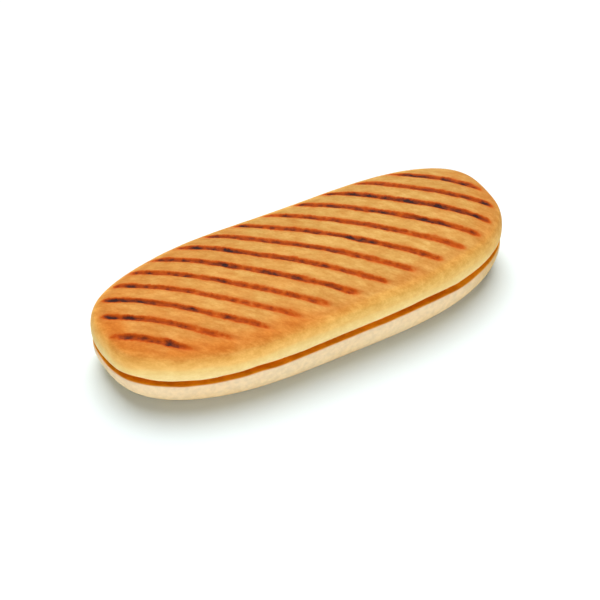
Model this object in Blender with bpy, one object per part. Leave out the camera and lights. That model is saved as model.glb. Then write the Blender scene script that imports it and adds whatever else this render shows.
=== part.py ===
"""A grilled panini roll, cut through its side into a top half and a bottom half.

Metres, +Z up. +X runs along the roll and -Y is the side that faces the viewer. The origin is at the
middle of the roll's box, on the surface that it lies on.
"""

import math

import bmesh
import bpy

# Whole roll
LENGTH = 0.250
WIDTH = 0.1010
HEIGHT = 0.0433
END_FULLNESS = 2.42  # exponent of the plan outline along the roll: higher has squarer ends
SIDE_FULLNESS = 3.01  # exponent of the plan outline across the roll
BEND = 0.0039  # how far both ends curve towards +Y
TAPER = -0.006  # change of width from the middle to the +X end, as a share

# Hand-shaped waver along the roll
WAVER_TURN = 40.0  # radians for each metre of length
SWAY = 0.0003  # of the middle line, sideways
SWAY_PHASE = 2.83
SWELL = 0.024  # of the width, as a share
SWELL_PHASE = -2.10
CUT_WAVER = 0.0004  # of the cut, up and down
CUT_WAVER_PHASE = 0.96

# Cut between the halves
CUT_HEIGHT = 0.0171  # at the middle of the roll
CUT_RISE = 0.0030  # metres up for each metre along +X
CLEARANCE = 0.0003  # between the two cut faces, where they lie on each other
GAPE_SIDES = 0.0039  # how far the cut stands open at the long sides
GAPE_ENDS = 0.0028  # and at the two ends
GAPE_DEPTH = 0.0150  # how far in the cut closes

# Top half
LIP_INSET = 0.0006  # the cut edges lie this far inside the widest line
LIP_ROUND = 0.0022  # height of the round lower lip of the top half
LIP_POINTS = ((1.0, 0.3), (0.5, 0.75))  # shares of the lip's inset and of its height
WIDEST_ABOVE_CUT = 0.0107
CROWN_ROUND = 3.38  # exponent of the shoulder: higher has steeper sides
CROWN_FLAT = 1.71  # exponent of the crown: higher is flatter
CROWN_END_INSET = 1.10  # inset of the crown at the ends, against that at the sides
CROWN_UNEVEN = 0.0004  # height of the soft swells of the crown
CROWN_TURNS = (62.0, 75.0)  # radians for each metre, along and across
CROWN_PHASES = (1.0, 0.4)

# Bottom half
EDGE_ROUND = 0.0008
BASE_INSET = 0.0062  # at the long sides
BASE_END_INSET = 2.77  # the ends are undercut this many times as far
BASE_LATE = 1.10  # higher keeps the wall upright for longer above the base

# Grill marks pressed into the crown
MARK_COUNT = 14
MARK_SPACING = 0.0132
MARK_ANGLE = math.radians(44.4)  # between the marks and the roll's length
MARK_SHIFT = 0.0003  # moves all marks across themselves
MARK_WIDTH = 0.0038
MARK_FLOOR = 0.0014  # width of a mark's flat floor
MARK_DEPTH = 0.0008
MARK_REACH = 0.0075  # the marks fade out this far inside the widest line
MARK_FADE = 0.0030
MARK_MARGIN = 0.0025  # nearer the widest line than this, the crown isn't cut for marks

# Mesh
POINTS_AROUND = 72
OUTLINE_SAMPLES = 1440
CROWN_LEVELS = (0.0, 0.25, 0.45, 0.6, 0.72, 0.82, 0.9, 0.96)  # shares of the crown's height
GAPE_STEPS = 4
WALL_STEPS = 6
INSET_SEARCHES = 24
CUT_SNAP = 0.0004  # a point this near a cutting plane is used as it is
SHARP_ANGLE = math.radians(50)

# Look
TOASTED_COLOUR = (0.80, 0.42, 0.13)
TOASTED_ROUGHNESS = 0.6
PALE_COLOUR = (0.86, 0.72, 0.47)
PALE_ROUGHNESS = 0.7

HALF_LENGTH = LENGTH / 2
HALF_WIDTH = WIDTH / 2


def smooth_step(value, low, high):
    """0 below low, 1 above high, and a smooth rise between them."""
    share = min(1.0, max(0.0, (value - low) / (high - low)))
    return share * share * (3 - 2 * share)


def waver(x, phase):
    return math.sin(WAVER_TURN * x + phase)


def cut_height(x):
    return CUT_HEIGHT + CUT_RISE * x + CUT_WAVER * waver(x, CUT_WAVER_PHASE)


def middle_line(x):
    """Sideways place of the roll's middle line."""
    return BEND * (x / HALF_LENGTH) ** 2 + SWAY * waver(x, SWAY_PHASE)


def width_factor(x):
    return 1 + TAPER * x / HALF_LENGTH + SWELL * waver(x, SWELL_PHASE)


def shaped(x, y):
    """A point of the even outline, moved to where the hand-shaped roll has it."""
    return x, y * width_factor(x) + middle_line(x)


def even_outline(half_length, half_width):
    """Evenly spaced points of a superellipse, from the +X tip, anticlockwise."""
    points = []
    for k in range(OUTLINE_SAMPLES + 1):
        c = math.cos(2 * math.pi * k / OUTLINE_SAMPLES)
        s = math.sin(2 * math.pi * k / OUTLINE_SAMPLES)
        x = math.copysign(half_length * abs(c) ** (2 / END_FULLNESS), c)
        y = math.copysign(half_width * abs(s) ** (2 / SIDE_FULLNESS), s)
        points.append((x, y))
    lengths = [0.0]
    for here, there in zip(points, points[1:]):
        lengths.append(lengths[-1] + math.dist(here, there))
    even, k = [], 0
    for n in range(POINTS_AROUND):
        goal = lengths[-1] * n / POINTS_AROUND
        while lengths[k + 1] < goal:
            k += 1
        share = (goal - lengths[k]) / (lengths[k + 1] - lengths[k])
        (x0, y0), (x1, y1) = points[k], points[k + 1]
        even.append((x0 + share * (x1 - x0), y0 + share * (y1 - y0)))
    return even


def ring(end_inset, side_inset, height):
    """One closed row of points, inset from the widest line. height(x, sideways) gives Z, with
    sideways from 0 at the tips to 1 at the middle of the long sides."""
    half_length = HALF_LENGTH - end_inset
    half_width = HALF_WIDTH - side_inset
    points = []
    for x, y in even_outline(half_length, half_width):
        sideways = min(1.0, abs(y) / half_width)
        points.append((*shaped(x, y), height(x, sideways)))
    return points


def crown_inset(level):
    """Inset at a share of the crown's height above the widest line."""
    share = 1 - (1 - level**CROWN_ROUND) ** (1 / CROWN_FLAT)
    return share * HALF_WIDTH


def inset_at(x, y):
    """The crown inset on which a point of the plan lies."""
    y = (y - middle_line(x)) / width_factor(x)
    low, high = 0.0, HALF_WIDTH
    for _ in range(INSET_SEARCHES):
        inset = (low + high) / 2
        along = abs(x) / (HALF_LENGTH - CROWN_END_INSET * inset)
        room = 1 - min(1.0, along) ** END_FULLNESS
        if abs(y) <= (HALF_WIDTH - inset) * room ** (1 / SIDE_FULLNESS) and along < 1:
            low = inset
        else:
            high = inset
    return low


def crown_height(x, y):
    """Height of the smooth crown over a point of the plan."""
    left = max(0.0, 1 - inset_at(x, y) / HALF_WIDTH)
    level = max(0.0, 1 - left**CROWN_FLAT) ** (1 / CROWN_ROUND)
    widest = cut_height(x) + WIDEST_ABOVE_CUT
    along = CROWN_TURNS[0] * x + CROWN_PHASES[0]
    across = CROWN_TURNS[1] * y + CROWN_PHASES[1]
    uneven = CROWN_UNEVEN * math.sin(along) * math.cos(across)
    return widest + (HEIGHT - CROWN_UNEVEN - widest) * level + uneven * level


def across_marks(x, y):
    """Distance of a plan point from the middle of the marks, across them."""
    return x * math.sin(MARK_ANGLE) + y * math.cos(MARK_ANGLE) - MARK_SHIFT


def mark_offset(number):
    return (number - (MARK_COUNT - 1) / 2) * MARK_SPACING


def pressed_depth(x, y):
    """How deep a grill ridge has pressed the crust at a point of the plan."""
    across = across_marks(x, y)
    number = round(across / MARK_SPACING + (MARK_COUNT - 1) / 2)
    number = min(MARK_COUNT - 1, max(0, number))
    off_middle = abs(across - mark_offset(number))
    ridge = 1 - smooth_step(off_middle, MARK_FLOOR / 2, MARK_WIDTH / 2)
    reach = smooth_step(inset_at(x, y), MARK_REACH - MARK_FADE, MARK_REACH + MARK_FADE)
    return MARK_DEPTH * ridge * reach


def gape(sideways):
    """How far the cut stands open at the rim."""
    return GAPE_ENDS + (GAPE_SIDES - GAPE_ENDS) * smooth_step(sideways, 0.0, 1.0)


def skin(rings):
    """A closed mesh over rows of points, its first and last row closed by a flat face."""
    mesh = bmesh.new()
    rows = [[mesh.verts.new(point) for point in row] for row in rings]
    for lower, upper in zip(rows, rows[1:]):
        for n in range(POINTS_AROUND):
            after = (n + 1) % POINTS_AROUND
            mesh.faces.new((lower[n], lower[after], upper[after], upper[n]))
    mesh.faces.new(reversed(rows[0]))
    mesh.faces.new(rows[-1])
    bmesh.ops.recalc_face_normals(mesh, faces=mesh.faces)
    return mesh


def cut_along(mesh, faces_of, point, normal):
    """Adds a line of points where a plane crosses the faces that faces_of picks."""
    faces = faces_of(mesh)
    edges = {edge for face in faces for edge in face.edges}
    verts = {vert for face in faces for vert in face.verts}
    bmesh.ops.bisect_plane(
        mesh,
        geom=[*verts, *edges, *faces],
        dist=CUT_SNAP,
        plane_co=point,
        plane_no=normal,
    )


def crown_faces(mesh):
    """The faces of the top half that the grill can reach."""
    return [
        face
        for face in mesh.faces
        if face.normal.z > 0
        and min(inset_at(v.co.x, v.co.y) for v in face.verts) > MARK_MARGIN
        and min(v.co.z - cut_height(v.co.x) for v in face.verts) > WIDEST_ABOVE_CUT
    ]


def press_marks(mesh):
    """Cuts the crown along both walls and both floor edges of every mark, and along the roll's
    middle, then sets every point of the crown to its height."""
    across = (math.sin(MARK_ANGLE), math.cos(MARK_ANGLE), 0)
    cut_along(mesh, crown_faces, (0, 0, 0), (0, 1, 0))
    for number in range(MARK_COUNT):
        for side in (-MARK_WIDTH, -MARK_FLOOR, MARK_FLOOR, MARK_WIDTH):
            off = MARK_SHIFT + mark_offset(number) + side / 2
            cut_along(mesh, crown_faces, (across[0] * off, across[1] * off, 0), across)
    for vert in {vert for face in crown_faces(mesh) for vert in face.verts}:
        x, y = vert.co.x, vert.co.y
        vert.co.z = crown_height(x, y) - pressed_depth(x, y)


def top_half():
    rows = []
    # The underside: flat in the middle, and curving up to the lip
    for step in range(GAPE_STEPS + 1):
        share = step / GAPE_STEPS
        inset = GAPE_DEPTH + (LIP_INSET + LIP_ROUND / 2 - GAPE_DEPTH) * share
        rows.append(
            ring(
                inset,
                inset,
                lambda x, side, share=share: cut_height(x)
                + CLEARANCE / 2
                + gape(side) * share**2,
            )
        )
    # The round lip, and the side up to the widest line
    for inward, up in LIP_POINTS:
        rows.append(
            ring(
                LIP_INSET * inward,
                LIP_INSET * inward,
                lambda x, side, up=up: cut_height(x) + gape(side) + LIP_ROUND * up,
            )
        )
    # The shoulder and the crown
    for level in CROWN_LEVELS:
        inset = crown_inset(level)
        row = ring(CROWN_END_INSET * inset, inset, lambda x, side: 0.0)
        rows.append([(x, y, crown_height(x, y)) for x, y, _ in row])
    mesh = skin(rows)
    press_marks(mesh)
    return mesh


def bottom_half():
    rows = [
        ring(
            LIP_INSET + EDGE_ROUND,
            LIP_INSET + EDGE_ROUND,
            lambda x, side: cut_height(x) - CLEARANCE / 2,
        )
    ]
    for step in range(WALL_STEPS + 1):
        share = step / WALL_STEPS
        turn = share**BASE_LATE * math.pi / 2
        inset = BASE_INSET * (1 - math.cos(turn))
        drop = 1 - math.sin(share * math.pi / 2)
        rows.append(
            ring(
                LIP_INSET + BASE_END_INSET * inset,
                LIP_INSET + inset,
                lambda x, side, drop=drop: (cut_height(x) - EDGE_ROUND) * drop,
            )
        )
    return skin(rows)


def material(name, colour, roughness):
    made = bpy.data.materials.new(name)
    made.use_nodes = True
    shader = made.node_tree.nodes["Principled BSDF"]
    shader.inputs["Base Color"].default_value = (*colour, 1.0)
    shader.inputs["Roughness"].default_value = roughness
    shader.inputs["Metallic"].default_value = 0.0
    made.diffuse_color = (*colour, 1.0)
    return made


def centre_on_box(meshes):
    """Moves the whole roll so that its box is centred on the origin in plan and stands on Z = 0."""
    points = [vert.co for mesh in meshes for vert in mesh.verts]
    middle_x = (min(p.x for p in points) + max(p.x for p in points)) / 2
    middle_y = (min(p.y for p in points) + max(p.y for p in points)) / 2
    lowest = min(p.z for p in points)
    for mesh in meshes:
        bmesh.ops.translate(mesh, verts=mesh.verts, vec=(-middle_x, -middle_y, -lowest))


def add_object(name, mesh, finish):
    bmesh.ops.triangulate(mesh, faces=mesh.faces)
    data = bpy.data.meshes.new(name)
    mesh.to_mesh(data)
    mesh.free()
    data.materials.append(finish)
    data.shade_smooth()
    data.set_sharp_from_angle(angle=SHARP_ANGLE)
    made = bpy.data.objects.new(name, data)
    bpy.context.scene.collection.objects.link(made)


def main():
    for old in list(bpy.data.objects):
        bpy.data.objects.remove(old)
    top = top_half()
    bottom = bottom_half()
    centre_on_box((top, bottom))
    add_object("top_half", top, material("toasted_crust", TOASTED_COLOUR, TOASTED_ROUGHNESS))
    add_object("bottom_half", bottom, material("pale_crust", PALE_COLOUR, PALE_ROUGHNESS))


main()
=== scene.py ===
"""Looks of a grilled panini roll, cut open along its side, on a plain pale table.

Metres, +Z up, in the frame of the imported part. Both halves are modelled again at a finer grain,
from the same named sizes as the solids they stand for.
"""

import math

import bpy
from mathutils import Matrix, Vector, noise


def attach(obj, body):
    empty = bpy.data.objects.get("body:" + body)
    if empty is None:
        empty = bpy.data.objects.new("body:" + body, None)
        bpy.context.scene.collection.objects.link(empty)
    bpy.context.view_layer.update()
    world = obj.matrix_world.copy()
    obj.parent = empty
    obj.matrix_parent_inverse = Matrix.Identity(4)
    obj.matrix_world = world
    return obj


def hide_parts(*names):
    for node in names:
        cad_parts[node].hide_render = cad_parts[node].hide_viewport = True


# The even roll seen from above: an oval with fuller ends and sides than an ellipse
LENGTH = 0.250
WIDTH = 0.1010
END_FULLNESS = 2.42
SIDE_FULLNESS = 3.01
HALF_LENGTH = LENGTH / 2
HALF_WIDTH = WIDTH / 2

# What the hand gave it: a slight bend and taper, and slow wavers along the roll
BEND = 0.0039
TAPER = -0.006
WAVER_TURN = 40.0
SWAY, SWAY_PHASE = 0.0003, 2.83
SWELL, SWELL_PHASE = 0.024, -2.10
CUT_WAVER, CUT_WAVER_PHASE = 0.0004, 0.96

# The cut, and how far it stands open
CUT_HEIGHT = 0.0171
CUT_RISE = 0.0030
CLEARANCE = 0.0003
GAPE_SIDES = 0.0039
GAPE_ENDS = 0.0028
GAPE_DEPTH = 0.0150

# The top half: its rounded lip, its widest line, and the crown above that
HEIGHT = 0.0433
LIP_INSET = 0.0006
LIP_ROUND = 0.0022
LIP_HEIGHT = CUT_HEIGHT + GAPE_SIDES
WIDEST_ABOVE_CUT = 0.0107
WIDEST_HEIGHT = CUT_HEIGHT + WIDEST_ABOVE_CUT
CROWN_ROUND = 3.38
CROWN_FLAT = 1.71
CROWN_END_INSET = 1.10
CROWN_UNEVEN = 0.0004
CROWN_TURNS = (62.0, 75.0)
CROWN_PHASES = (1.0, 0.4)

# The bottom half: its rounded cut edge, and its underside, which is tucked in
EDGE_ROUND = 0.0008
BASE_INSET = 0.0062
BASE_END_INSET = 2.77
BASE_LATE = 1.10
BASE_FLAT_LENGTH = HALF_LENGTH - 0.026
BASE_FLAT_WIDTH = HALF_WIDTH - 0.0150

# The grill marks
MARK_COUNT = 14
MARK_SPACING = 0.0132
MARK_ANGLE = math.radians(44.4)
MARK_SHIFT = 0.0003
MARK_WIDTH = 0.0038
MARK_FLOOR = 0.0014
MARK_DEPTH = 0.0008
MARK_REACH = 0.0075
MARK_FADE = 0.0030

# Beside a mark the crust swells a little: how high, how far from the middle, and how broadly
SWOLLEN_RISE, SWOLLEN_PLACE, SWOLLEN_SPREAD = 0.00010, 0.0027, 0.0007

# How the halves are blocked out: points round a ring, insets of the crown's rings, rings down the
# lower side, and how often the blocked-out form is smoothed
TOP_RING_POINTS = 84
BOTTOM_RING_POINTS = 72
CROWN_RINGS = (
    0.0005,
    0.0022,
    0.0056,
    0.0110,
    0.0170,
    0.0235,
    0.0300,
    0.0365,
    0.0430,
    HALF_WIDTH,
)
BASE_RINGS = 6
SMOOTHING_LEVELS = 3

# How finely things are worked out: steps round the outline before its points are spaced evenly,
# halvings to find an inset, the smallest half width of a ring, and what counts as the same place
OUTLINE_STEPS = 1440
INSET_STEPS = 18
SMALLEST_RING = 1e-7
SAME_PLACE = 1e-5

# Where one form passes into the next: heights round the widest line, insets where the dome takes
# over from the side, how near the lip the underside's curve ends, and insets and depths where
# crust gives way to the crumb of the cut, which is painted dark orange-brown as the shade in the
# open slit
CROWN_BLEND = 0.001
DOME_FROM, DOME_TO = 0.0008, 0.0025
UNDERSIDE_ABOVE_LIP, UNDERSIDE_END = 0.0004, 0.93
TOP_CUT_SHADE_FROM, TOP_CUT_SHADE_TO = 0.0012, 0.0022
FACE_CUT_SHADE_FROM, FACE_CUT_SHADE_TO = 0.0011, 0.0004
LOWER_EDGE_FROM, LOWER_EDGE_TO = 0.0015, 0.0060

# Each kind of unevenness: its amount, the size of its lumps, and its seed
BROAD_RELIEF = (0.00010, 0.024, 1)
CLOSE_RELIEF = (0.00005, 0.008, 2)
FINE_RELIEF = (0.00004, 0.0034, 3)
MARK_WANDERS = (0.00030, 0.011, 5)
MARK_WIDTH_VARIES = (0.28, 0.0075, 6)
MARK_DASHES = (0.30, 0.0050, 8)
MARK_DOTS = (0.18, 0.0024, 9)
MARK_END_VARIES = (0.0012, 0.012, 10)
UPPER_EDGE_STRAYS = (0.00050, 0.014, 12)
UPPER_EDGE_NICKS = (0.00016, 0.0045, 13)
LOWER_EDGE_STRAYS = (0.00034, 0.011, 14)

# The fine relief is drawn out along the roll, and the upper edge of the cut sags a little
FINE_RELIEF_SQUEEZE = 0.6
UPPER_EDGE_SAG = -0.0003

# How strongly each ridge of the grill burnt its mark, from the near left one to the far right one
MARK_CHAR = (1.02, 0.90, 0.95, 0.84, 0.88, 0.97, 0.97, 0.90, 1.0, 0.90, 1.0, 1.12, 0.94, 1.0)
CHAR_FAR, CHAR_NEAR, CHAR_LEAST = 0.61, 0.46, 0.25

# Where a mark ends, as an inset from the rim: on the far side, and on the near side to the left
# and to the right; the nearest mark runs on to the left end
END_FAR = 0.0048
END_NEAR_LEFT, END_NEAR_RIGHT = 0.0097, 0.0056
END_NEAREST_SOONER, END_NEAREST_LEFT = 0.0020, 0.0034
END_SOFT_OUT, END_SOFT_IN = 0.0030, 0.0034
# Beyond its end a mark is coloured as if this many millimetres farther off
END_GAP = 1.2

# Places where the crust has gone black: mark, place along the roll, strength
BURNT_SPOTS = (
    (0, -0.096, 0.9),
    (1, -0.115, 0.8),
    (1, -0.106, 0.9),
    (2, -0.1085, 1.0),
    (2, -0.102, 0.7),
    (2, -0.095, 0.6),
    (2, -0.074, 0.4),
    (3, -0.094, 0.6),
    (5, -0.041, 0.8),
    (5, -0.022, 0.7),
    (5, -0.011, 0.7),
    (5, 0.004, 0.6),
    (6, -0.047, 0.8),
    (6, -0.033, 0.8),
    (7, -0.029, 0.4),
    (7, -0.011, 0.5),
    (8, -0.013, 0.4),
    (8, 0.031, 1.0),
    (8, 0.039, 0.5),
    (10, 0.037, 0.5),
    (10, 0.058, 0.5),
    (10, 0.075, 0.9),
    (10, 0.083, 0.5),
    (11, 0.053, 0.8),
    (11, 0.075, 1.0),
    (11, 0.088, 0.5),
    (11, 0.104, 0.6),
    (12, 0.114, 0.5),
    (13, 0.090, 0.9),
    (13, 0.096, 0.6),
    (13, 0.106, 0.5),
)
SPOT_LENGTH = 0.0026
SPOT_STRENGTH = 0.38

# Places on the near side where the cut edges stray: place along the roll, half width, how far up
# the upper edge goes, and how far up the lower one goes
CUT_SWELLS = (
    (-0.115, 0.006, 0.0009, 0.0005),
    (-0.082, 0.013, -0.0007, -0.0002),
    (-0.053, 0.007, 0.0008, 0.0004),
    (0.051, 0.015, 0.0014, 0.0008),
    (0.080, 0.009, 0.0002, -0.0008),
)

# What the materials read at each point of a mesh. Lengths are in millimetres there.
TOP_MEASURES = ("climb", "mark_gap", "char", "pressed", "inside", "toast", "far")
BOTTOM_MEASURES = ("inside", "up", "along")
TO_MM = 1000

# Colours as the eye sees them, 0 to 255. Up the side, from the lip to the shoulder:
SIDE_COLOURS = (
    (0.00, (246, 221, 158)),
    (0.14, (244, 213, 147)),
    (0.28, (241, 204, 130)),
    (0.42, (239, 191, 108)),
    (0.62, (236, 184, 96)),
    (0.80, (222, 168, 84)),
    (1.00, (203, 153, 80)),
)
SHOULDER_CLIMB = 24.0
TOAST_COLOUR = (206, 122, 45)
# In a mark, from lightly to wholly burnt:
BURNT_COLOURS = (
    (0.10, (200, 100, 26)),
    (0.35, (182, 78, 12)),
    (0.58, (156, 62, 8)),
    (0.80, (112, 44, 16)),
    (1.00, (56, 30, 28)),
)
HALO_COLOUR = (190, 98, 34)
# Painted shade inside the open cut: dark orange-brown for the shadowed slit, in two tones:
CUT_SHADE_COLOURS = ((246, 163, 28), (228, 141, 14))
# Up the lower half, from the table to the cut:
PALE_COLOURS = (
    (0.00, (246, 210, 154)),
    (0.30, (248, 216, 166)),
    (0.70, (246, 215, 172)),
    (1.00, (243, 211, 174)),
)
PALE_BLOTCH_COLOUR = (244, 226, 190)
PALE_END_COLOUR = (220, 180, 114)

# Shades that a colour is multiplied by
WARM_SHADE = (1.075, 0.995, 0.96, 1.0)
# Painted shade on the far side and the right end of the crown:
PAINTED_FAR_SHADE = (0.87, 0.90, 0.90, 1.0)

TABLE_RADIUS = 12.0
TABLE_DROP = 0.0002
TABLE_COLOUR = (0.790, 0.870, 0.880, 1.0)

# Lights: name, direction that the light comes from, spread in degrees, strength
LIGHTS = (
    ("overhead", (0.25, 0.55, 1.10), 58.0, 4.14),
    ("front_fill", (-0.78, -1.68, 0.48), 35.0, 1.66),
)
SKY_STRENGTH = 0.08

# The photograph's viewpoint: from the front left, well above the table, with a long lens
CAMERA_TURN = math.radians(-29.814)
CAMERA_RISE = math.radians(41.939)
CAMERA_DISTANCE = 2.2099
PIXELS_PER_METRE = 1782.17
PHOTO_SIZE = 600
AIM = Vector((0.0, 0.00335, 0.0200))
AIM_SEEN_AT = (298.759, 280.243)
SENSOR_WIDTH = 36
FARTHEST_SEEN = 20


def smooth_step(value, low, high):
    """0 below low, 1 above high, and a smooth rise between them."""
    share = min(1.0, max(0.0, (value - low) / (high - low)))
    return share * share * (3 - 2 * share)


def hill(value, middle, half_width):
    """1 in the middle, and falling off softly to both sides."""
    return math.exp(-(((value - middle) / half_width) ** 2))


def blend(first, second, share):
    return first + (second - first) * share


def uneven(kind, x, y, z):
    """Soft unevenness of one kind at a point, up or down by at most its amount."""
    amount, size, seed = kind
    spot = Vector((x / size + seed * 7.3, y / size - seed * 3.1, z / size + seed))
    return amount * noise.noise(spot)


def waver(x, phase):
    return math.sin(WAVER_TURN * x + phase)


def cut_height(x):
    return CUT_HEIGHT + CUT_RISE * x + CUT_WAVER * waver(x, CUT_WAVER_PHASE)


def middle_line(x):
    return BEND * (x / HALF_LENGTH) ** 2 + SWAY * waver(x, SWAY_PHASE)


def width_factor(x):
    return 1 + TAPER * x / HALF_LENGTH + SWELL * waver(x, SWELL_PHASE)


def shaped_y(x, y):
    """Sideways place of a point of the even roll, once the roll has its hand-made shape."""
    return y * width_factor(x) + middle_line(x)


def gape(sideways):
    """How far the cut stands open at the rim, from the ends (0) to the long sides (1)."""
    return blend(GAPE_ENDS, GAPE_SIDES, smooth_step(sideways, 0.0, 1.0))


def oval_point(turn, half_length, half_width):
    """The point of the roll's outline at this angle round from the +X tip."""
    c, s = math.cos(turn), math.sin(turn)
    x = math.copysign(half_length * abs(c) ** (2 / END_FULLNESS), c)
    y = math.copysign(half_width * abs(s) ** (2 / SIDE_FULLNESS), s)
    return x, y


def even_oval(half_length, half_width, count):
    """Evenly spaced points of the roll's outline, from the +X tip, anticlockwise."""
    turns = [2 * math.pi * k / OUTLINE_STEPS for k in range(OUTLINE_STEPS + 1)]
    points = [oval_point(turn, half_length, half_width) for turn in turns]
    lengths = [0.0]
    for here, there in zip(points, points[1:]):
        lengths.append(lengths[-1] + math.dist(here, there))
    even, k = [], 0
    for n in range(count):
        goal = lengths[-1] * n / count
        while lengths[k + 1] < goal:
            k += 1
        share = (goal - lengths[k]) / (lengths[k + 1] - lengths[k])
        (x0, y0), (x1, y1) = points[k], points[k + 1]
        even.append((blend(x0, x1, share), blend(y0, y1, share)))
    return even


def inset_of(x, y, end_ratio):
    """How far inside the widest line of the even roll a point of its plan lies."""
    low, high = 0.0, HALF_WIDTH
    for _ in range(INSET_STEPS):
        inset = (low + high) / 2
        along = abs(x) / (HALF_LENGTH - end_ratio * inset)
        if along < 1:
            room = (1 - along**END_FULLNESS) ** (1 / SIDE_FULLNESS)
        else:
            room = -1
        if abs(y) <= (HALF_WIDTH - inset) * room:
            low = inset
        else:
            high = inset
    return low


def crown_height(x, y, inset):
    """Height of the crown this far inside its rim, with the slight unevenness of a baked roll."""
    left = max(0.0, 1 - inset / HALF_WIDTH)
    level = max(0.0, 1 - left**CROWN_FLAT) ** (1 / CROWN_ROUND)
    widest = cut_height(x) + WIDEST_ABOVE_CUT
    along = CROWN_TURNS[0] * x + CROWN_PHASES[0]
    across = CROWN_TURNS[1] * y + CROWN_PHASES[1]
    swell = CROWN_UNEVEN * math.sin(along) * math.cos(across)
    return widest + (HEIGHT - CROWN_UNEVEN - widest) * level + swell * level


def deselect_all():
    if bpy.context.mode != "OBJECT":
        bpy.ops.object.mode_set(mode="OBJECT")
    bpy.ops.object.select_all(action="DESELECT")


def ring_row(inset, height, end_ratio=1.0):
    """Half length, half width and height of a ring that lies this far inside the widest line."""
    return (HALF_LENGTH - end_ratio * inset, max(HALF_WIDTH - inset, SMALLEST_RING), height)


def start_ring(name, count, half_length, half_width, height):
    """A ring of edges with the roll's outline, open for extruding."""
    deselect_all()
    bpy.ops.mesh.primitive_circle_add(
        vertices=count, radius=half_length, fill_type="NOTHING", location=(0, 0, height)
    )
    ring = bpy.context.object
    ring.name = name
    bpy.ops.object.transform_apply(location=True, rotation=True, scale=True)
    outline = even_oval(half_length, half_width, count)
    for vert in ring.data.vertices:
        turn = math.atan2(vert.co.y, vert.co.x) % (2 * math.pi)
        vert.co.x, vert.co.y = outline[round(turn / (2 * math.pi) * count) % count]
    bpy.ops.object.mode_set(mode="EDIT")
    bpy.ops.mesh.select_mode(type="EDGE")
    bpy.ops.mesh.select_all(action="SELECT")
    return ring


def extrude_rings(first, rows):
    """Extrudes the selected ring through rows of half length, half width and height."""
    half_length, half_width, height = first
    for new_length, new_width, new_height in rows:
        bpy.ops.mesh.extrude_region_move(
            TRANSFORM_OT_translate={"value": (0, 0, new_height - height)}
        )
        bpy.ops.transform.resize(
            value=(new_length / half_length, new_width / half_width, 1),
            center_override=(0, 0, 0),
        )
        half_length, half_width, height = new_length, new_width, new_height


def close_open_ring():
    bpy.ops.mesh.select_all(action="DESELECT")
    bpy.ops.mesh.select_non_manifold()
    bpy.ops.mesh.edge_face_add()


def round_off(piece):
    """Evens the faces' directions, then smooths and refines the blocked-out form."""
    bpy.ops.mesh.select_all(action="SELECT")
    bpy.ops.mesh.normals_make_consistent(inside=False)
    deselect_all()
    bpy.context.view_layer.objects.active = piece
    piece.select_set(True)
    bpy.ops.object.modifier_add(type="SUBSURF")
    smoothing = piece.modifiers[-1]
    smoothing.levels = SMOOTHING_LEVELS
    smoothing.render_levels = SMOOTHING_LEVELS
    bpy.ops.object.modifier_apply(modifier=smoothing.name)
    bpy.ops.object.shade_smooth()


def stretch_to(piece, half_length, half_width):
    """Gives back what the smoothing took from the outline."""
    verts = piece.data.vertices
    along = half_length / max(abs(v.co.x) for v in verts)
    across = half_width / max(abs(v.co.y) for v in verts)
    for vert in verts:
        vert.co.x *= along
        vert.co.y *= across


def keep_measures(piece, names, rows):
    """Keeps named numbers for every point of the mesh, for the materials to read."""
    for name, values in zip(names, zip(*rows)):
        layer = piece.data.attributes.new(name, "FLOAT", "POINT")
        layer.data.foreach_set("value", values)


def crust_relief(x, y, z):
    """How far a baked crust stands out from its even form."""
    broad = uneven(BROAD_RELIEF, x, y, z) + uneven(CLOSE_RELIEF, x, y, z)
    return broad + uneven(FINE_RELIEF, x * FINE_RELIEF_SQUEEZE, y, z)


def mark_place(x, y):
    """The nearest grill mark's number, and how far from its middle a point of the plan lies."""
    across = x * math.sin(MARK_ANGLE) + y * math.cos(MARK_ANGLE) - MARK_SHIFT
    number = round(across / MARK_SPACING + (MARK_COUNT - 1) / 2)
    number = min(MARK_COUNT - 1, max(0, number))
    off = across - (number - (MARK_COUNT - 1) / 2) * MARK_SPACING
    # A ridge doesn't touch the crust evenly, so the mark wanders a little and varies in width
    off += uneven(MARK_WANDERS, x, y, number)
    return number, abs(off) * (1 + uneven(MARK_WIDTH_VARIES, x, y, number))


def nearness(y):
    """0 from the middle line to the far side, rising to 1 on the near side."""
    return smooth_step(-y, 0.0, 0.030)


def char_strength(number, x, y):
    """How dark a mark is at a place: most at the far side, in dashes, with black spots."""
    strength = MARK_CHAR[number] * blend(CHAR_FAR, CHAR_NEAR, nearness(y))
    strength += uneven(MARK_DASHES, x, y, number) + uneven(MARK_DOTS, x, y, number)
    for mark, place, extra in BURNT_SPOTS:
        if mark == number:
            strength += SPOT_STRENGTH * extra * hill(x, place, SPOT_LENGTH)
    return max(CHAR_LEAST, strength)


def mark_wholeness(number, x, y, inset):
    """1 along a mark and 0 beyond its end, which lies farther in on the near side."""
    near_end = blend(END_NEAR_LEFT, END_NEAR_RIGHT, smooth_step(x, 0.030, 0.100))
    end = blend(END_FAR, near_end, nearness(y)) + uneven(MARK_END_VARIES, x, y, number)
    if number == 0:
        sooner = end - END_NEAREST_SOONER
        end = blend(sooner, END_NEAREST_LEFT, smooth_step(-x, 0.085, 0.115))
    return smooth_step(inset, end - END_SOFT_OUT, end + END_SOFT_IN)


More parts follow.
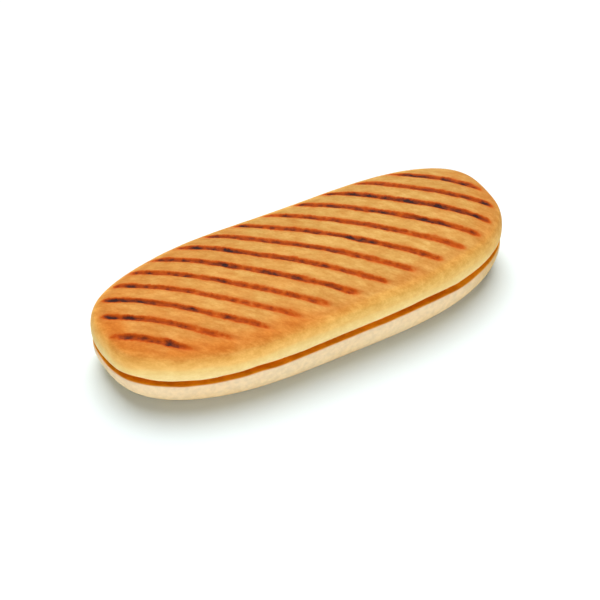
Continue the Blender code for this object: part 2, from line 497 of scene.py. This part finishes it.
def toasting(x, y, inset):
    """How orange the crown has toasted: most round its rim, and more to the left."""
    left = smooth_step(-x, -0.035, 0.105)
    rim = hill(max(inset, 0.0065), 0.0065, 0.0075) * (1 - 0.9 * smooth_step(y, 0.0, 0.030))
    far_end = smooth_step(x, 0.070, 0.120)
    share = 0.42 * left + rim * (0.34 + 0.30 * left) + 0.18 * far_end
    share += 0.10 * smooth_step(y, 0.0, 0.035)
    # One more toasted place, in front of the middle
    share += 0.22 * hill(x, -0.032, 0.014) * smooth_step(-y, 0.020, 0.032)
    return min(1.0, share)


def browned_low(x, y):
    """By how many millimetres the golden crust comes lower down the side."""
    front = smooth_step(-y, 0.010, 0.030)
    blush = 1.6 * hill(x, -0.064, 0.017)
    right = 1.2 * smooth_step(x, -0.030, 0.0)
    left_end = 2.0 * smooth_step(-x, 0.111, 0.121) * smooth_step(-y, 0.004, 0.014)
    return front * (blush + right) + left_end + 3.5 * smooth_step(x, 0.080, 0.116)


def painted_far_shade(x, y):
    """Millimetres towards the far side, and more at the right end, for painted shade that darkens
    both.
    """
    return TO_MM * y + 38 * smooth_step(x, 0.070, 0.118)


def cut_strays(x, y):
    """How far up the upper and the lower edge of the cut stray, as a knife leaves them."""
    near = smooth_step(-y, 0.010, 0.024)
    upper = UPPER_EDGE_SAG + uneven(UPPER_EDGE_STRAYS, x, y, 0.0)
    upper += uneven(UPPER_EDGE_NICKS, x, y, 0.0)
    lower = uneven(LOWER_EDGE_STRAYS, x, y, 1.0)
    for place, half_width, upper_rise, lower_rise in CUT_SWELLS:
        share = near * hill(x, place, half_width)
        upper += upper_rise * share
        lower += lower_rise * share
    return upper, lower


def side_height(x, plan_y, z, inset, opening):
    """Height of a point of the top half's underside, lip or side, below its crown."""
    stray = cut_strays(x, plan_y)[0]
    share = min(1.0, max(0.0, (GAPE_DEPTH - inset) / (GAPE_DEPTH - LIP_INSET)))
    if z < LIP_HEIGHT + UNDERSIDE_ABOVE_LIP and share < UNDERSIDE_END:
        # The underside, which curves up towards the lip
        return cut_height(x) + CLEARANCE / 2 + (opening + stray) * share**2
    low = 1 - smooth_step(z, LIP_HEIGHT, WIDEST_HEIGHT)
    return z + (cut_height(x) - CUT_HEIGHT) + (opening - GAPE_SIDES + stray) * low


def shape_top(piece):
    """Gives the blocked-out top half its crown, its open cut and its grill marks."""
    rows = []
    for vert in piece.data.vertices:
        x, y, z = vert.co
        plan_y = shaped_y(x, y)
        crown = smooth_step(z, WIDEST_HEIGHT - CROWN_BLEND, WIDEST_HEIGHT + CROWN_BLEND)
        inset = inset_of(x, y, blend(1.0, CROWN_END_INSET, crown))
        # At the very middle of the plan there is no half width left to divide by
        opening = gape(min(1.0, abs(y) / max(1e-6, HALF_WIDTH - inset)))
        height = side_height(x, plan_y, z, inset, opening)
        domed = crown * smooth_step(inset, DOME_FROM, DOME_TO)
        height = blend(height, crown_height(x, plan_y, inset), domed)
        climb = TO_MM * (height - cut_height(x) - opening + inset) + browned_low(x, y)
        number, gap = mark_place(x, plan_y)
        reach = smooth_step(inset, MARK_REACH - MARK_FADE, MARK_REACH + MARK_FADE) * crown
        ridge = 1 - smooth_step(gap, MARK_FLOOR / 2, MARK_WIDTH / 2)
        swollen = hill(gap, SWOLLEN_PLACE, SWOLLEN_SPREAD)
        height -= reach * (MARK_DEPTH * ridge - SWOLLEN_RISE * swollen)
        vert.co = (x, plan_y, height)
        whole = mark_wholeness(number, x, plan_y, inset)
        # The cut's faces, which take the painted shade of the open slit
        inside = 0.0
        if z < WIDEST_HEIGHT:
            inside = smooth_step(inset, TOP_CUT_SHADE_FROM, TOP_CUT_SHADE_TO) * (1 - crown)
        rows.append(
            (
                climb,
                gap * TO_MM + END_GAP * (1 - whole),
                char_strength(number, x, plan_y),
                whole * crown,
                inside,
                toasting(x, y, inset),
                # painted shade towards the far side and the right end
                painted_far_shade(x, y),
            )
        )
    keep_measures(piece, TOP_MEASURES, rows)


def raise_crust(piece):
    """Moves every point along its own direction by the relief of the crust."""
    piece.data.update()
    moved = []
    for vert in piece.data.vertices:
        moved.append(vert.co + vert.normal * crust_relief(*vert.co))
    for vert, place in zip(piece.data.vertices, moved):
        vert.co = place


def top_half():
    """The domed, grilled half, from the cut up over the lip and the side to the crown."""
    cut = CUT_HEIGHT + CLEARANCE / 2
    first = ring_row(GAPE_DEPTH, cut)
    piece = start_ring("top_crust", TOP_RING_POINTS, *first)
    rows = [
        # Out over the underside
        ring_row(0.0055, cut + 0.45 * GAPE_SIDES),
        # Round the lip
        ring_row(LIP_INSET + LIP_ROUND / 2, LIP_HEIGHT),
        ring_row(LIP_INSET, LIP_HEIGHT + 0.3 * LIP_ROUND),
        ring_row(LIP_INSET / 2, LIP_HEIGHT + 0.9 * LIP_ROUND),
        # Up the side, to just below the widest line
        ring_row(0.0, WIDEST_HEIGHT - 0.0008),
    ]
    for inset in CROWN_RINGS:
        left = 1 - inset / HALF_WIDTH
        level = (1 - left**CROWN_FLAT) ** (1 / CROWN_ROUND)
        height = WIDEST_HEIGHT + (HEIGHT - WIDEST_HEIGHT) * level
        rows.append(ring_row(inset, height, CROWN_END_INSET))
    extrude_rings(first, rows)
    bpy.ops.mesh.select_all(action="SELECT")
    bpy.ops.mesh.remove_doubles(threshold=SAME_PLACE)
    close_open_ring()
    round_off(piece)
    stretch_to(piece, HALF_LENGTH, HALF_WIDTH)
    shape_top(piece)
    raise_crust(piece)
    return piece


def shape_bottom(piece):
    """Gives the blocked-out bottom half the roll's bend and its straying cut edge."""
    rows = []
    for vert in piece.data.vertices:
        x, y, z = vert.co
        share = z / CUT_HEIGHT
        plan_y = shaped_y(x, y)
        height = z + (cut_height(x) - CUT_HEIGHT) * share
        if share > 0.5:
            edge = 1 - smooth_step(inset_of(x, y, 1.0), LOWER_EDGE_FROM, LOWER_EDGE_TO)
            height += cut_strays(x, plan_y)[1] * edge * smooth_step(share, 0.5, 0.95)
        vert.co = (x, plan_y, height)
        # The cut face near its edge, which takes the painted shade of the open slit
        inside = smooth_step(z, CUT_HEIGHT - FACE_CUT_SHADE_FROM, CUT_HEIGHT - FACE_CUT_SHADE_TO)
        rows.append((inside, share, TO_MM * x))
    keep_measures(piece, BOTTOM_MEASURES, rows)


def bottom_half():
    """The pale half, from the flat cut face out over its edge and down to the underside."""
    cut = CUT_HEIGHT - CLEARANCE / 2
    first = ring_row(0.020, cut)
    piece = start_ring("bottom_crust", BOTTOM_RING_POINTS, *first)
    rows = [ring_row(0.0070, cut), ring_row(LIP_INSET + EDGE_ROUND, cut)]
    for step in range(BASE_RINGS + 1):
        share = step / BASE_RINGS
        inset = BASE_INSET * (1 - math.cos(share**BASE_LATE * math.pi / 2))
        rows.append(
            (
                HALF_LENGTH - LIP_INSET - BASE_END_INSET * inset,
                HALF_WIDTH - LIP_INSET - inset,
                (CUT_HEIGHT - EDGE_ROUND) * (1 - math.sin(share * math.pi / 2)),
            )
        )
    rows.append((BASE_FLAT_LENGTH, BASE_FLAT_WIDTH, 0.0))
    extrude_rings(first, rows)
    bpy.ops.mesh.edge_face_add()
    close_open_ring()
    round_off(piece)
    stretch_to(piece, HALF_LENGTH - LIP_INSET, HALF_WIDTH - LIP_INSET)
    shape_bottom(piece)
    return piece


def tint(red, green, blue):
    """A colour given as 0 to 255 as the eye sees it, in the shader's own linear values."""
    return tuple(
        c / 255 / 12.92 if c < 10 else ((c / 255 + 0.055) / 1.055) ** 2.4
        for c in (red, green, blue)
    ) + (1.0,)


class Finish:
    """A material, and short ways to add the layers of its finish."""

    def __init__(self, name):
        self.material = bpy.data.materials.new(name)
        self.material.use_nodes = True
        self.tree = self.material.node_tree
        self.shader = self.tree.nodes["Principled BSDF"]
        self.place = self.add("ShaderNodeTexCoord").outputs["Object"]

    def add(self, kind, **settings):
        made = self.tree.nodes.new(kind)
        for key, value in settings.items():
            setattr(made, key, value)
        return made

    def join(self, source, target):
        self.tree.links.new(source, target)

    def feed(self, socket, value):
        """Joins another node's result to a socket, or sets the socket to a plain value."""
        if isinstance(value, bpy.types.NodeSocket):
            self.join(value, socket)
        else:
            socket.default_value = value

    def measure(self, name):
        return self.add("ShaderNodeAttribute", attribute_name=name).outputs["Fac"]

    def sums(self, operation, first, second=0.0, third=0.0):
        made = self.add("ShaderNodeMath", operation=operation)
        for socket, value in zip(made.inputs, (first, second, third)):
            self.feed(socket, value)
        return made.outputs[0]

    def times(self, first, *others):
        product = first
        for other in others:
            product = self.sums("MULTIPLY", product, other)
        return product

    def plus(self, base, amount, share):
        return self.sums("MULTIPLY_ADD", amount, share, base)

    def spread(self, value, low, high, to_low=0.0, to_high=1.0):
        """A smooth change from to_low, where the value is low, to to_high, where it is high."""
        made = self.add("ShaderNodeMapRange", interpolation_type="SMOOTHSTEP")
        self.feed(made.inputs["Value"], value)
        made.inputs["From Min"].default_value = low
        made.inputs["From Max"].default_value = high
        made.inputs["To Min"].default_value = to_low
        made.inputs["To Max"].default_value = to_high
        return made.outputs["Result"]

    def speckle(self, size, detail=3.0, drawn_out=1.0, roughness=0.55):
        """Soft noise with lumps of about this size in metres, drawn out along the grill marks."""
        turned = self.add("ShaderNodeMapping", vector_type="TEXTURE")
        turned.inputs["Rotation"].default_value = (0, 0, -MARK_ANGLE)
        turned.inputs["Scale"].default_value = (drawn_out, 1, 1)
        self.join(self.place, turned.inputs["Vector"])
        made = self.add("ShaderNodeTexNoise")
        made.inputs["Scale"].default_value = 1 / size
        made.inputs["Detail"].default_value = detail
        made.inputs["Roughness"].default_value = roughness
        self.join(turned.outputs["Vector"], made.inputs["Vector"])
        return made.outputs["Fac"]

    def ripple(self, size, detail=3.0, **settings):
        """The same noise, but up and down from zero."""
        return self.sums("SUBTRACT", self.speckle(size, detail, **settings), 0.5)

    def ramp(self, value, stops):
        """A colour that follows a value through the stops, each a place and a colour."""
        made = self.add("ShaderNodeValToRGB")
        strip = made.color_ramp
        strip.interpolation = "EASE"
        while len(strip.elements) < len(stops):
            strip.elements.new(0.5)
        for stop, (place, colour) in zip(strip.elements, stops):
            stop.position = place
            stop.color = tint(*colour)
        self.feed(made.inputs["Fac"], value)
        return made.outputs["Color"]

    def mix(self, share, first, second, how="MIX"):
        made = self.add("ShaderNodeMix", data_type="RGBA", blend_type=how, clamp_factor=True)
        self.feed(made.inputs["Factor"], share)
        self.feed(made.inputs["A"], first)
        self.feed(made.inputs["B"], second)
        return made.outputs["Result"]

    def shaded(self, colour, value, powers=(1.0, 1.0, 1.0)):
        """Lightens and darkens a colour by a value around 1, some channels more than others."""
        made = self.add("ShaderNodeCombineColor")
        for channel, power in zip(("Red", "Green", "Blue"), powers):
            amount = value if power == 1.0 else self.sums("POWER", value, power)
            self.join(amount, made.inputs[channel])
        return self.mix(1.0, colour, made.outputs["Color"], "MULTIPLY")

    def with_painted_cut_shade(self, colour):
        """Adds painted shade inside the open cut: a dark orange-brown for the shadowed slit, in
        two tones.
        """
        patchy = self.spread(self.speckle(0.007, 3.0), 0.35, 0.65)
        painted_cut_shade = self.mix(patchy, tint(*CUT_SHADE_COLOURS[0]), tint(*CUT_SHADE_COLOURS[1]))
        return self.mix(self.measure("inside"), colour, painted_cut_shade)

    def grain(self, height, strength, distance, under=None):
        made = self.add("ShaderNodeBump")
        made.inputs["Strength"].default_value = strength
        made.inputs["Distance"].default_value = distance
        self.join(height, made.inputs["Height"])
        if under is not None:
            self.join(under, made.inputs["Normal"])
        return made.outputs["Normal"]

    def wrinkled(self, wrinkle, wrinkle_strength, pore_size):
        """Gives the crust its fine wrinkles, with pores in them."""
        wrinkles = self.grain(wrinkle, wrinkle_strength, 0.0005)
        pores = self.grain(self.speckle(pore_size, 3.0), 0.30, 0.00025, under=wrinkles)
        self.join(pores, self.shader.inputs["Normal"])


def baked_side(crust, climb):
    """Pale at the lip and golden at the shoulder, and a warmer shade left of the middle."""
    colour = crust.ramp(crust.sums("DIVIDE", climb, SHOULDER_CLIMB), SIDE_COLOURS)
    warm = crust.times(
        crust.spread(crust.measure("toast"), 0.36, 0.66),
        crust.spread(climb, 5.0, 12.0),
        crust.spread(climb, 27.0, 18.0),
    )
    return crust.mix(warm, colour, WARM_SHADE, "MULTIPLY")


def toasted_crown(crust, colour, climb):
    """Broad orange toasting in blotches, and painted shade that darkens the far side a little."""
    toast = crust.plus(crust.measure("toast"), crust.ripple(0.020, 4.0), 1.15)
    toast = crust.times(toast, crust.spread(climb, 10.0, SHOULDER_CLIMB))
    colour = crust.mix(toast, colour, tint(*TOAST_COLOUR))
    # Painted shade: the far side and the right end are darkened
    far = crust.spread(crust.measure("far"), -10.0, 45.0, 0.0, 0.9)
    far = crust.times(far, crust.spread(climb, 9.0, 20.0))
    return crust.mix(far, colour, PAINTED_FAR_SHADE, "MULTIPLY")


def flecked(crust, colour, climb):
    """Flecks and patches, drawn out along the marks, and fainter low on the side."""
    fleck = crust.spread(crust.speckle(0.0032, 4.0, drawn_out=2.4), 0.30, 0.72, 0.86, 1.11)
    fine = crust.spread(crust.speckle(0.0009, 2.0, drawn_out=2.0), 0.3, 0.7, 0.93, 1.07)
    patch = crust.spread(crust.speckle(0.0090, 3.0, drawn_out=1.8), 0.3, 0.7, 0.95, 1.05)
    change = crust.sums("SUBTRACT", crust.times(fleck, crust.times(fine, patch)), 1.0)
    fainter = crust.spread(climb, 5.0, 20.0, 0.32, 1.0)
    return crust.shaded(colour, crust.plus(1.0, change, fainter), (0.7, 1.3, 2.2))


def grill_marked(crust, colour):
    """Marks with a soft browned halo, a red-brown edge, and a dark mottled middle."""
    ragged = crust.ripple(0.0017, roughness=0.65)
    gap = crust.plus(crust.measure("mark_gap"), ragged, 1.5)
    pressed = crust.measure("pressed")
    halo = crust.times(crust.spread(gap, 4.3, 1.8), crust.spread(pressed, 0.0, 0.5), 0.50)
    colour = crust.mix(halo, colour, tint(*HALO_COLOUR))
    mottle = crust.ripple(0.0019, drawn_out=1.8, roughness=0.65)
    core = crust.times(crust.measure("char"), crust.spread(gap, 2.1, 0.5, 0.52, 1.18))
    burn = crust.sums("MAXIMUM", crust.plus(core, mottle, 0.62), 0.24)
    burn = crust.times(burn, crust.spread(gap, 3.0, 1.7), pressed)
    return crust.mix(crust.spread(burn, 0.06, 0.34), colour, crust.ramp(burn, BURNT_COLOURS))


def toasted_crust():
    """Golden baked crust, paler towards the cut, with mottled dark grill marks."""
    crust = Finish("toasted_crust")
    climb = crust.plus(crust.measure("climb"), crust.ripple(0.016), 3.0)
    colour = baked_side(crust, climb)
    colour = toasted_crown(crust, colour, climb)
    colour = flecked(crust, colour, climb)
    colour = grill_marked(crust, colour)
    # Painted shade inside the open cut
    crust.join(crust.with_painted_cut_shade(colour), crust.shader.inputs["Base Color"])
    rough = crust.spread(crust.speckle(0.006, 3.0), 0.3, 0.7, 0.58, 0.72)
    crust.join(rough, crust.shader.inputs["Roughness"])
    crust.shader.inputs["Specular IOR Level"].default_value = 0.06
    crust.wrinkled(crust.speckle(0.0026, 4.0, drawn_out=2.2), 0.35, 0.0007)
    return crust.material


def pale_crust():
    """Soft cream crust of the lower half, a little tanned towards the base, and darker and
    browner towards the right end.
    """
    crust = Finish("pale_crust")
    colour = crust.ramp(crust.measure("up"), PALE_COLOURS)
    blotch = crust.times(crust.spread(crust.speckle(0.018, 3.0), 0.35, 0.70), 0.35)
    colour = crust.mix(blotch, colour, tint(*PALE_BLOTCH_COLOUR))
    # Darker and browner towards the right end
    right_end = crust.spread(crust.measure("along"), 76.0, 114.0, 0.0, 0.9)
    colour = crust.mix(right_end, colour, tint(*PALE_END_COLOUR))
    fleck = crust.spread(crust.speckle(0.0035, 4.0), 0.3, 0.7, 0.93, 1.06)
    colour = crust.shaded(colour, fleck)
    # Painted shade inside the open cut
    crust.join(crust.with_painted_cut_shade(colour), crust.shader.inputs["Base Color"])
    crust.shader.inputs["Roughness"].default_value = 0.7
    crust.shader.inputs["Specular IOR Level"].default_value = 0.12
    crust.wrinkled(crust.speckle(0.0030, 4.0), 0.30, 0.0008)
    return crust.material


def table_top():
    """A plain pale table, wide enough for any view."""
    deselect_all()
    bpy.ops.mesh.primitive_circle_add(vertices=96, radius=TABLE_RADIUS, fill_type="NGON")
    table = bpy.context.object
    table.name = "table"
    # A hair below the roll, so that the two don't share a surface
    for vert in table.data.vertices:
        vert.co.z = -TABLE_DROP
    finish = Finish("pale_table")
    finish.shader.inputs["Base Color"].default_value = TABLE_COLOUR
    finish.shader.inputs["Roughness"].default_value = 0.9
    finish.shader.inputs["Specular IOR Level"].default_value = 0.1
    table.data.materials.append(finish.material)


def soft_light(name, direction, spread, strength):
    """A large even light from far away, so that the whole table is lit alike."""
    data = bpy.data.lights.new(name, "SUN")
    data.angle = math.radians(spread)
    data.energy = strength
    lamp = bpy.data.objects.new(name, data)
    bpy.context.scene.collection.objects.link(lamp)
    lamp.location = direction
    lamp.rotation_euler = (-Vector(direction)).to_track_quat("-Z", "Y").to_euler()


def light_studio():
    world = bpy.data.worlds.new("studio")
    world.use_nodes = True
    world.node_tree.nodes["Background"].inputs["Color"].default_value = (1, 1, 1, 1)
    world.node_tree.nodes["Background"].inputs["Strength"].default_value = SKY_STRENGTH
    bpy.context.scene.world = world
    for light in LIGHTS:
        soft_light(*light)
    bpy.context.scene.view_settings.view_transform = "Standard"


def set_camera():
    """Puts the camera where the aim is seen at its own pixel of the photograph."""
    back = Vector(
        (
            math.sin(CAMERA_TURN) * math.cos(CAMERA_RISE),
            -math.cos(CAMERA_TURN) * math.cos(CAMERA_RISE),
            math.sin(CAMERA_RISE),
        )
    )
    right = Vector((math.cos(CAMERA_TURN), math.sin(CAMERA_TURN), 0))
    up = back.cross(right)
    data = bpy.data.cameras.new("camera")
    camera = bpy.data.objects.new("camera", data)
    bpy.context.scene.collection.objects.link(camera)
    camera.location = (
        AIM
        + back * CAMERA_DISTANCE
        + right * ((PHOTO_SIZE / 2 - AIM_SEEN_AT[0]) / PIXELS_PER_METRE)
        + up * ((AIM_SEEN_AT[1] - PHOTO_SIZE / 2) / PIXELS_PER_METRE)
    )
    camera.rotation_euler = (-back).to_track_quat("-Z", "Y").to_euler()
    data.sensor_width = SENSOR_WIDTH
    data.lens = PIXELS_PER_METRE * CAMERA_DISTANCE / PHOTO_SIZE * data.sensor_width
    data.clip_end = FARTHEST_SEEN
    bpy.context.scene.camera = camera


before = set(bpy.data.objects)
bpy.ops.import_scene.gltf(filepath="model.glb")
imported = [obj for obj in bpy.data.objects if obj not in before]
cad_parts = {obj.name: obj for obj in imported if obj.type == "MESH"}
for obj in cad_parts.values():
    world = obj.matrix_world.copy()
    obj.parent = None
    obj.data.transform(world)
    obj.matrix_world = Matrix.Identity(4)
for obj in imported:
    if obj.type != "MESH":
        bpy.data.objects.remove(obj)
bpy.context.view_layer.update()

top = top_half()
bottom = bottom_half()
# The solids' box is centred on the origin in plan, so the halves move with it
middle_y = -(min(v.co.y for v in top.data.vertices) + max(v.co.y for v in top.data.vertices)) / 2
for half in (top, bottom):
    for vert in half.data.vertices:
        vert.co.y += middle_y

top.data.materials.append(toasted_crust())
bottom.data.materials.append(pale_crust())
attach(top, "root")
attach(bottom, "root")
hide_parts("top_half")
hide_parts("bottom_half")

table_top()
light_studio()
set_camera()
